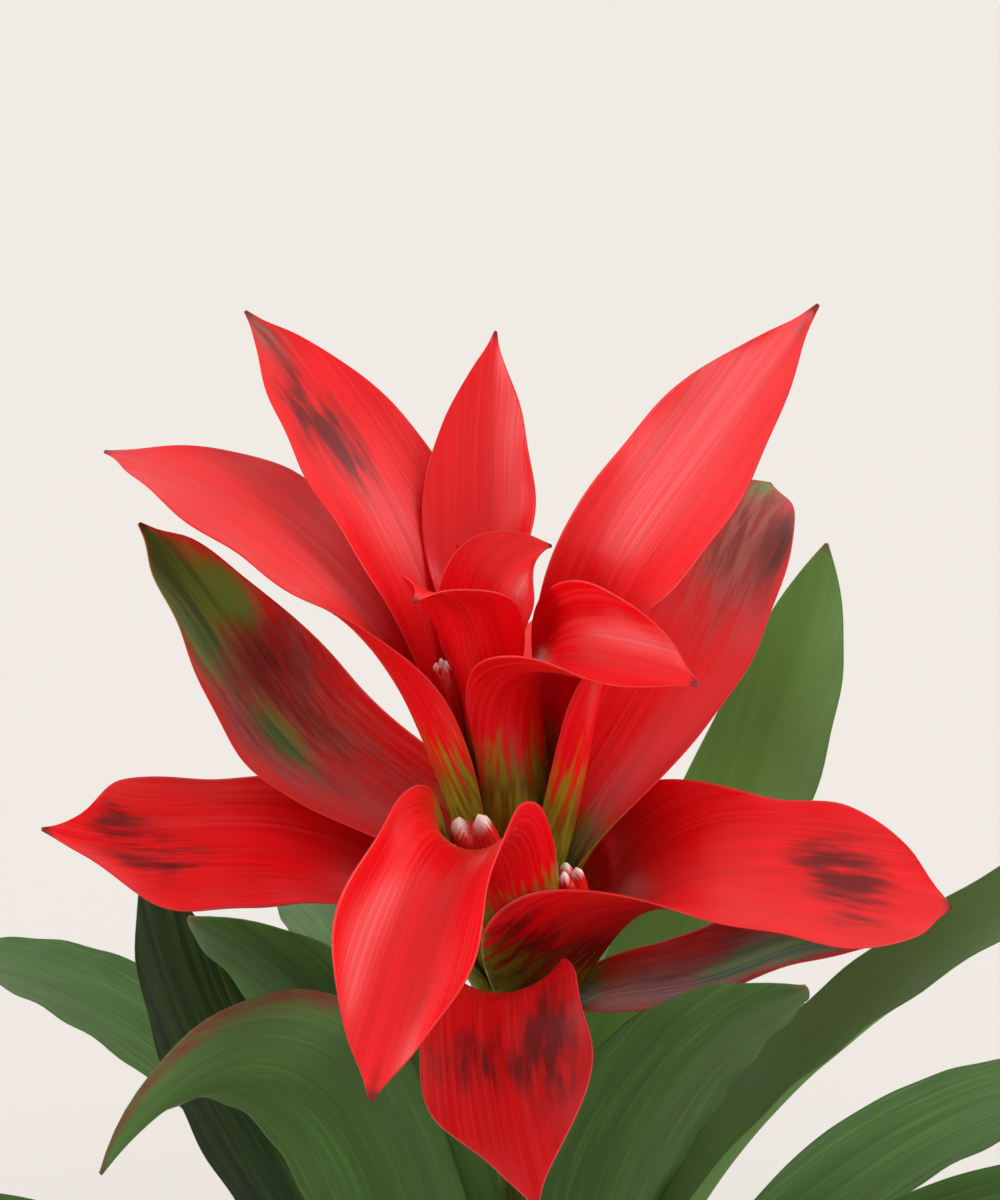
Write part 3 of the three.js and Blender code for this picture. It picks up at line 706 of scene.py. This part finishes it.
def ring_stack(centres, radii, segments):
    """Points and faces of a closed round solid from rings, with a point at each end."""
    angle = np.linspace(0, 2 * math.pi, segments, endpoint=False)
    circle = np.stack([np.cos(angle), np.sin(angle), 0 * angle], -1)
    rings = centres[:, None] + circle * np.asarray(radii)[:, None, None]
    points = np.concatenate([centres[:1], rings.reshape(-1, 3), centres[-1:]])
    return points, stack_faces(len(centres), segments)


print("faces of a stack of 2 rings with 4 sides:", len(stack_faces(2, 4)))

# %% Stem material
FIBRES_MM = (0.83, 0.83, 25)

stem_skin, tree, shader = new_material("ribbed_stem_skin")
place = add(tree, "TexCoord", "Object", {})
scale = [per_metre(size) for size in FIBRES_MM]
fibres = add(tree, "VectorMath", 0, {"operation": "MULTIPLY", 0: place, 1: scale})
fibre_noise = add(tree, "TexNoise", "Fac", {"Vector": fibres, "Scale": 1, "Detail": 3})
lines = add(tree, "MapRange", "Result", {**CONTRAST, "Value": fibre_noise})
colour = add(tree, "Mix", MIXED, {**COLOURS, AMOUNT: lines, FIRST: "#6E7C2C", SECOND: "#98A24C"})
bump = add(tree, "Bump", "Normal", {"Strength": 0.4, "Distance": 0.2 * MM, "Height": fibre_noise})
settle(tree, shader, {"Base Color": colour, "Roughness": 0.5, "Normal": bump})
print("fibres in a metre:", round(scale[0]))

# %% Stem and stump
STEM_PROFILE = [(127.3, 5.5), (180, 5.5), (246, 5.5), (258, 8.6), (300, 8.8), (329, 8), (334, 6.2),
                (340, 6), (346, 4.4), (355, 2.2)]
STEM_RING_STEP = 1.5
STEM_SEGMENTS = 40
SCAR_SPACING = 21
SCAR_OFFSET = 10
SCAR_HEIGHT = 0.35
SCAR_WIDTH = 1.6
STUMP_RADIUS = 24
STUMP_PROFILE = [(88.3, 23.6), (88.4, STUMP_RADIUS), (100, STUMP_RADIUS), (127, 6)]
STUMP_LEVELS = [88.3, 88.4, 94, 99.5, 100.5, 106, 112, 118, 124, 126.8, 127]
STUMP_SEGMENTS = 48

stem_levels = np.arange(STEM_PROFILE[0][0], STEM_PROFILE[-1][0], STEM_RING_STEP)
scars = np.exp(-((stem_levels % SCAR_SPACING - SCAR_OFFSET) / SCAR_WIDTH) ** 2)
stem_radii = np.interp(stem_levels, *np.array(STEM_PROFILE).T) + SCAR_HEIGHT * (scars - 1)
points, faces = ring_stack(stem_centre(stem_levels), stem_radii, STEM_SEGMENTS)
finished(mesh_object("stem", points, faces, {}, stem_skin), "green_stem", "flower_stem")
stump_radii = np.interp(STUMP_LEVELS, *np.array(STUMP_PROFILE).T)
stump_centres = np.array([(0, 0, level) for level in STUMP_LEVELS])
points, faces = ring_stack(stump_centres, stump_radii, STUMP_SEGMENTS)
finished(mesh_object("stump", points, faces, {}, stem_skin), "green_stem", "leaf_stump")
print("stem rings:", len(stem_levels))

# %% [markdown]
# ## Buds
#
# The flower buds sit in the cups of the bracts. Each is a small spindle that ends in
# a few blunt lobes, deep red below and almost white at the lobes, with the colour
# running down in streaks. Sculpting could shape them one by one. Letting the upper
# rings of a turned shape rise and fall with the angle makes all the lobes at once.
#
# Petals hold more water than leaves and are not as waxy, so more light goes into
# them: the subsurface share is twice that of the bracts, and there is no coat.
#
# Each row of the table is one bud: its name, its base and tip, its radius, the number
# of its lobes and how far they are turned.

# %% Bud material
BUD_STREAKS_MM = (0.8, 14)

bud_skin, tree, shader = new_material("pale_tipped_bud_skin")
share = add(tree, "Attribute", "Fac", {"attribute_name": "share"})
place = add(tree, "Attribute", "Vector", {"attribute_name": "grain"})
streaks = lengthwise(tree, place, BUD_STREAKS_MM, 3)
streaky = add(tree, "MapRange", "Result", {**CONTRAST, "Value": streaks})
red = add(tree, "Mix", MIXED, {**COLOURS, AMOUNT: streaky, FIRST: "#D40A0C", SECOND: "#EC2420"})
ragged = add(tree, "Math", 0, {"operation": "MULTIPLY_ADD", 0: streaks, 1: 0.16, 2: share})
pale = add(tree, "MapRange", "Result", {**SOFT, "Value": ragged, "From Min": 0.98, "From Max": 1.06})
colour = layered(tree, red, [(pale, "#FFF6F0")])
bump = add(tree, "Bump", "Normal", {"Strength": 0.12, "Distance": 0.1 * MM, "Height": streaks})
settle(tree, shader, {
    "Base Color": colour, "Roughness": 0.35, "Normal": bump,
    "Subsurface Weight": 0.25, "Subsurface Scale": 1.5 * MM,
})
print("bud skin has", len(tree.nodes), "nodes")

# %% Buds
BUD_PROFILE = [(0, 0), (0.04, 0.45), (0.2, 0.8), (0.45, 1), (0.68, 0.96), (0.85, 0.78), (0.93, 0.56),
               (0.95, 0.36)]
BUD_RINGS = 28
BUD_SEGMENTS = 48
BUD_FIRST_RING = 0.02
BUD_LAST_RING = 0.95
LOBE_RISE = 0.05
LOBES_START = (0.6, 0.9)
LOBES_REACH = 0.99
DIMPLE_AT = 0.9
BUD_NOISE_SPACING = 5.1


def bud_piece(name, base, tip, radius, lobes, turn, seed):
    """Spindle from base to tip whose upper rings rise and fall to make the lobes."""
    base, tip = np.array(base, float), np.array(tip, float)
    axis = normalised(tip - base)
    length = np.linalg.norm(tip - base)
    side = normalised(np.cross([1, 0, 0], axis))
    upper = np.cross(axis, side)
    angle = np.linspace(0, 2 * math.pi, BUD_SEGMENTS, endpoint=False)
    share = np.linspace(BUD_FIRST_RING, BUD_LAST_RING, BUD_RINGS)
    rise = LOBE_RISE * np.cos(lobes * angle + turn) * soft_step(*LOBES_START, share)[:, None]
    place = np.minimum(share[:, None] + rise, LOBES_REACH)
    reach = radius * smooth_keys(BUD_PROFILE, share)[:, None]
    rings = (base + (place * length)[..., None] * axis + (reach * np.cos(angle))[..., None] * side
             + (reach * np.sin(angle))[..., None] * upper)
    dimple = base + axis * length * DIMPLE_AT
    points = np.concatenate([[base], rings.reshape(-1, 3), [dimple]])
    around = np.repeat((angle * radius)[None], BUD_RINGS, 0).ravel()
    own_noise = np.full(around.size, seed * BUD_NOISE_SPACING)
    grain = np.stack([around, (place * length).ravel(), own_noise], -1)
    values = {"share": np.concatenate([[0], place.ravel(), [DIMPLE_AT]]),
              "grain": np.concatenate([[[0, 0, 0]], grain, [[0, length, 0]]])}
    faces = stack_faces(BUD_RINGS, BUD_SEGMENTS)
    return finished(mesh_object(name + "_lobed", points, faces, values, bud_skin), "flower_bud", name)


BUDS = [
    ("bud_front", [-3.7, -14.9, 309.4], [-12.4, -26.5, 350.6], 6.7, 2, math.pi),
    ("bud_right", [14.7, -7.4, 299.5], [12, -14.9, 330.8], 4.8, 3, 2),
    ("bud_left", [-14.4, 1.6, 354.5], [-19.2, 0.4, 379.2], 3.6, 3, 3),
    ("bud_top", [-5.4, -2.9, 357.5], [-10, -6.7, 397], 3.4, 3, 4),
]
for seed, row in enumerate(BUDS, 1):
    bud_piece(*row, seed)
print("buds:", len(BUDS))

# %% [markdown]
# ## Terracotta
#
# The pot is turned and fired clay without a glaze: matte and porous, so it is rough
# all over and has no coat. Its colour clouds over a few centimetres, where the clay
# was drier or hotter. The potter's fingers leave fine rings, about 1.4 mm apart, and
# the clay holds grit of about a millimetre. Each of these is a noise of that size.

# %% Terracotta material
CLOUDS_MM = 45.5
GRIT_MM = 1.11
RINGS_MM = (333, 333, 1.43)

clay, tree, shader = new_material("unglazed_terracotta")
place = add(tree, "TexCoord", "Object", {})
cloud = add(tree, "TexNoise", "Fac",
            {"Vector": place, "Scale": per_metre(CLOUDS_MM), "Detail": 6, "Roughness": 0.6})
grit = add(tree, "TexNoise", "Fac", {"Vector": place, "Scale": per_metre(GRIT_MM), "Detail": 3})
scale = [per_metre(size) for size in RINGS_MM]
rings = add(tree, "VectorMath", 0, {"operation": "MULTIPLY", 0: place, 1: scale})
turning = add(tree, "TexNoise", "Fac", {"Vector": rings, "Scale": 1, "Detail": 2})
cloudy = add(tree, "MapRange", "Result", {**CONTRAST, "Value": cloud})
clay_colour = add(tree, "Mix", MIXED, {**COLOURS, AMOUNT: cloudy, FIRST: "#A65C3C", SECOND: "#BF7550"})
ring_lines = add(tree, "MapRange", "Result", {**SOFT, "Value": turning, "From Min": 0.55, "From Max": 0.8})
grit_spots = add(tree, "MapRange", "Result", {**SOFT, "Value": grit, "From Min": 0.6, "From Max": 0.75})
colour = layered(tree, clay_colour, [(ring_lines, "#C98A68"), (grit_spots, "#8E4B31")])
height = add(tree, "Math", 0, {"operation": "MULTIPLY_ADD", 0: turning, 1: 2, 2: grit})
bump = add(tree, "Bump", "Normal", {"Strength": 0.35, "Distance": 0.3 * MM, "Height": height})
settle(tree, shader, {"Base Color": colour, "Roughness": 0.85, "Normal": bump})
print("terracotta has", len(tree.nodes), "nodes")

# %% [markdown]
# ## Clay pot
#
# A turned piece is one outline spun round the axis. Blender's Screw modifier does
# the same, but a function also serves the soil below. The edges are rounded with a
# few extra points, because clay never breaks the light in a hard line.

# %% Turned pieces
ROUND_STEPS = 6
# A curve takes a little less than half of a side, so that two of them never meet.
SIDE_PER_CURVE = 2.1


def turned(outline, segments):
    """Points and faces of an outline of (radius, height) spun round the axis."""
    outline = np.array(outline, float)
    angle = np.linspace(0, 2 * math.pi, segments, endpoint=False)
    radius, height = outline[1:-1].T
    rings = np.stack([radius[:, None] * np.cos(angle), radius[:, None] * np.sin(angle),
                      height[:, None] + 0 * angle], -1)
    ends = [[0, 0, outline[0, 1]], [0, 0, outline[-1, 1]]]
    return np.concatenate([ends[:1], rings.reshape(-1, 3), ends[1:]]), stack_faces(len(radius), segments)


def rounded(corners, reach):
    """Outline with each inner corner replaced by a small curve that starts at that reach."""
    corners = np.array(corners, float)
    points = [corners[0]]
    for before, corner, after in zip(corners, corners[1:], corners[2:]):
        sides = np.linalg.norm([before - corner, after - corner], axis=-1)
        cut = min(reach, *sides / SIDE_PER_CURVE)
        start = corner + normalised(before - corner) * cut
        end = corner + normalised(after - corner) * cut
        for u in np.linspace(0, 1, ROUND_STEPS):
            points.append((1 - u) ** 2 * start + 2 * u * (1 - u) * corner + u * u * end)
    return points + [corners[-1]]


print("points of a rounded square corner:", len(rounded([(0, 0), (10, 0), (10, 10)], 2)))

# %% Clay pot
POT_HEIGHT = 115
RIM_RADIUS = 66
FOOT_RADIUS = 46
WALL = 5
BASE_THICKNESS = 7
BAND_HEIGHT = 26
BAND_STEP = 4
EDGE_ROUND = 1.6
POT_SEGMENTS = 128


def wall_radius(z):
    """Outer radius of the tapered wall at a height."""
    return FOOT_RADIUS + (RIM_RADIUS - BAND_STEP - FOOT_RADIUS) * z / POT_HEIGHT


band_foot = POT_HEIGHT - BAND_HEIGHT
pot_outline = rounded([
    (0, 0),
    (FOOT_RADIUS, 0),
    (wall_radius(band_foot), band_foot),
    (wall_radius(band_foot) + BAND_STEP, band_foot),
    (RIM_RADIUS, POT_HEIGHT),
    (wall_radius(POT_HEIGHT) - WALL, POT_HEIGHT),
    (wall_radius(BASE_THICKNESS) - WALL, BASE_THICKNESS),
    (0, BASE_THICKNESS),
], EDGE_ROUND)
points, faces = turned(pot_outline, POT_SEGMENTS)
finished(mesh_object("clay_pot", points, faces, {}, clay), "clay", "pot")
print("pot outline points:", len(pot_outline))

# %% [markdown]
# ## Peat
#
# Bromeliads grow in a coarse mix of peat and bark. Peat is dark, crumbly and damp
# but not glossy, with crumbs of about 2.4 mm. The peat here is a turned body with a
# plain hole for the stump, and the points of its top are shifted up and down at
# random, since a perfectly flat top would give it away. The shift goes mostly down,
# so that the soil stays within the place of its CAD solid.

# %% Peat
SOIL_TOP = 100
TOUCH_GAP = 0.3
HOLE_FLOOR = 88
TOP_RINGS = 22
SOIL_SEGMENTS = 96
UNEVEN = (-2.2, 0.6)
FLAT_STRIP = 1
SOIL_SEED = 11
CRUMBS_MM = 2.38

soil_low = BASE_THICKNESS + TOUCH_GAP
hole_radius = STUMP_RADIUS + TOUCH_GAP
soil_edge = wall_radius(SOIL_TOP) - WALL - TOUCH_GAP
soil_outline = [(0, soil_low), (wall_radius(soil_low) - WALL - TOUCH_GAP, soil_low)]
soil_outline += [(r, SOIL_TOP) for r in np.linspace(soil_edge, hole_radius, TOP_RINGS)]
soil_outline += [(hole_radius, HOLE_FLOOR), (0, HOLE_FLOOR)]
points, faces = turned(soil_outline, SOIL_SEGMENTS)
from_axis = np.hypot(points[:, 0], points[:, 1])
clear_of_rims = (from_axis < soil_edge - FLAT_STRIP) & (from_axis > hole_radius + FLAT_STRIP)
on_top = (points[:, 2] == SOIL_TOP) & clear_of_rims
rng = np.random.default_rng(SOIL_SEED)
points[on_top, 2] += rng.uniform(*UNEVEN, on_top.sum())

peat, tree, shader = new_material("moist_peat")
place = add(tree, "TexCoord", "Object", {})
crumbs = add(tree, "TexNoise", "Fac",
             {"Vector": place, "Scale": per_metre(CRUMBS_MM), "Detail": 8, "Roughness": 0.7})
crumbly = add(tree, "MapRange", "Result", {**SOFT, "Value": crumbs, "From Min": 0.35, "From Max": 0.7})
colour = add(tree, "Mix", MIXED, {**COLOURS, AMOUNT: crumbly, FIRST: "#1C130D", SECOND: "#4A3626"})
bump = add(tree, "Bump", "Normal", {"Strength": 0.9, "Distance": 1.2 * MM, "Height": crumbs})
settle(tree, shader, {"Base Color": colour, "Roughness": 0.95, "Normal": bump})
finished(mesh_object("peat_mix", points, faces, {}, peat), "soil", "soil")
print("uneven points on the peat:", int(on_top.sum()))

# %% [markdown]
# ## Bark chips
#
# The bark is loose chips of pine: small angular lumps with layers of about 4 mm.
# Particles could scatter them, but particles are lost when the model is exported.
# So each chip is a skewed cube, laid down by a seeded random rule, and all chips
# are joined into one piece, since each chip alone matters to nobody. Flat shading
# keeps their broken edges crisp.

# %% Bark chips
CHIP_COUNT = 260
CHIP_SMALLEST = [1.6, 1.0, 0.5]
CHIP_LARGEST = [4.5, 2.6, 1.2]
CHIP_SKEW = 0.25
CHIP_LUMPS = (0.7, 1.2)
CHIP_SINK = (-0.4, 0.6)
CHIP_CLEARANCE = 4
BARK_LAYERS_MM = 3.85

bark, tree, shader = new_material("pine_bark_chips")
place = add(tree, "TexCoord", "Object", {})
layers = add(tree, "TexNoise", "Fac", {"Vector": place, "Scale": per_metre(BARK_LAYERS_MM), "Detail": 5})
layering = add(tree, "MapRange", "Result", {**CONTRAST, "Value": layers})
colour = add(tree, "Mix", MIXED, {**COLOURS, AMOUNT: layering, FIRST: "#3A2417", SECOND: "#7A5236"})
bump = add(tree, "Bump", "Normal", {"Strength": 0.6, "Distance": 0.4 * MM, "Height": layers})
settle(tree, shader, {"Base Color": colour, "Roughness": 0.85, "Normal": bump})

cube = np.array([(x, y, z) for x in (-1, 1) for y in (-1, 1) for z in (-1, 1)], float)
cube_faces = [(0, 1, 3, 2), (4, 6, 7, 5), (0, 4, 5, 1), (2, 3, 7, 6), (0, 2, 6, 4), (1, 5, 7, 3)]
chip_points = []
chip_faces = []
for chip in range(CHIP_COUNT):
    size = rng.uniform(CHIP_SMALLEST, CHIP_LARGEST) / 2
    skew = rng.normal(size=(3, 3)) * CHIP_SKEW + np.eye(3)
    spin = rng.uniform(0, 2 * math.pi)
    cos, sin = math.cos(spin), math.sin(spin)
    spun = np.array([[cos, sin, 0], [-sin, cos, 0], [0, 0, 1]])
    lump = (cube * size * rng.uniform(*CHIP_LUMPS, (8, 1))) @ skew @ spun
    nearest, furthest = hole_radius + CHIP_CLEARANCE, soil_edge - CHIP_CLEARANCE
    distance = math.sqrt(rng.uniform(nearest ** 2, furthest ** 2))
    angle = rng.uniform(0, 2 * math.pi)
    lump += [distance * math.cos(angle), distance * math.sin(angle), SOIL_TOP + rng.uniform(*CHIP_SINK)]
    chip_faces += [tuple(8 * chip + i for i in face) for face in cube_faces]
    chip_points.append(lump)
chips = mesh_object("bark_chips", np.concatenate(chip_points), chip_faces, {}, bark)
chips.data.shade_flat()
finished(chips, "soil")
print("bark chips:", CHIP_COUNT)

# %% [markdown]
# ## Floor and light
#
# The photograph has a plain, warm, almost white background and soft light without
# hard shadows. A pale floor that is far larger than the plant gives the same. Two
# suns, each spread over a wide disk of sky like a window, draw the broad shine along
# the bracts, and an even surrounding light keeps their shadows soft. Suns are far
# away, so the floor stays even, where area lights close by would leave bright pools.
# The Standard view keeps colours as they were picked, where the usual one mutes reds.

# %% Floor
FLOOR_REACH = 6000

floor_paint, tree, shader = new_material("matte_warm_white_floor")
settle(tree, shader, {"Base Color": "#E2DED9", "Roughness": 0.9})
corners = [(x * FLOOR_REACH, y * FLOOR_REACH, 0) for x, y in ((-1, -1), (1, -1), (1, 1), (-1, 1))]
floor = mesh_object("floor", corners, [(0, 1, 2, 3)], {}, floor_paint)
floor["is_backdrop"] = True
print("floor is", 2 * FLOOR_REACH * MM, "metres wide")

# %% Light
world = bpy.data.worlds.new("soft_room_light")
bpy.context.scene.world = world
world.use_nodes = True
room = world.node_tree.nodes["Background"]
settle(world.node_tree, room, {"Color": "#FFFDFA", "Strength": 0.74})


def soft_sun(name, azimuth, height, spread, strength):
    """Far, even light from that azimuth and height, both in degrees, spread over a wide disk."""
    light = bpy.data.lights.new(name, "SUN")
    light.angle = math.radians(spread)
    light.energy = strength
    lamp = bpy.data.objects.new(name, light)
    bpy.context.scene.collection.objects.link(lamp)
    lamp.rotation_euler = (math.radians(90 - height), 0, math.radians(azimuth + 90))


soft_sun("left_window", 180, 17, 38, 1.4)
soft_sun("right_window", -6, 38, 36, 1.4)
bpy.context.scene.view_settings.view_transform = "Standard"
print("lights: two windows and the room around")

# %% Sizes of the model and of the scene
boxes = {"cad": cad_box, "visual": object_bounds()}
boxes = {name: [[float(c) for c in corner] for corner in box] for name, box in boxes.items()}
print("visual box in metres:", boxes["visual"])
